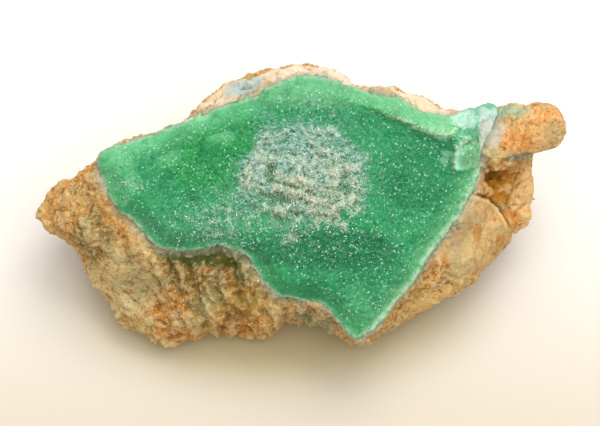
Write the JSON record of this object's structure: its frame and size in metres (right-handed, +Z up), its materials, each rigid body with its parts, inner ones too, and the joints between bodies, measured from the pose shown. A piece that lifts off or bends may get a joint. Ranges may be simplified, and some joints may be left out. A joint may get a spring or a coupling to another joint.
{
  "type": "variscite specimen",
  "caption": "Loose hand specimen of variscite: a green bevelled crust with a pale drusy patch on a rough chip of tan, iron-stained chert breccia.",
  "frame": {"origin": "on the surface that the specimen rests on, under the middle of its box", "axes": "+Z up; +X along the specimen's length, towards the knob; -Y towards the viewer, the side that the green face leans down to"},
  "size_m": [0.0202, 0.0116, 0.0076],
  "materials": {
    "iron_stained_chert": "rough, broken and matt, orange-tan to olive brown, with a smooth tan pebble in it",
    "green_variscite": "waxy green with a sugary surface of tiny glinting crystals and a cream patch"
  },
  "bodies": {
    "root": {"matrix_rock": "iron_stained_chert", "variscite_crust": "green_variscite"}
  },
  "joints": []
}
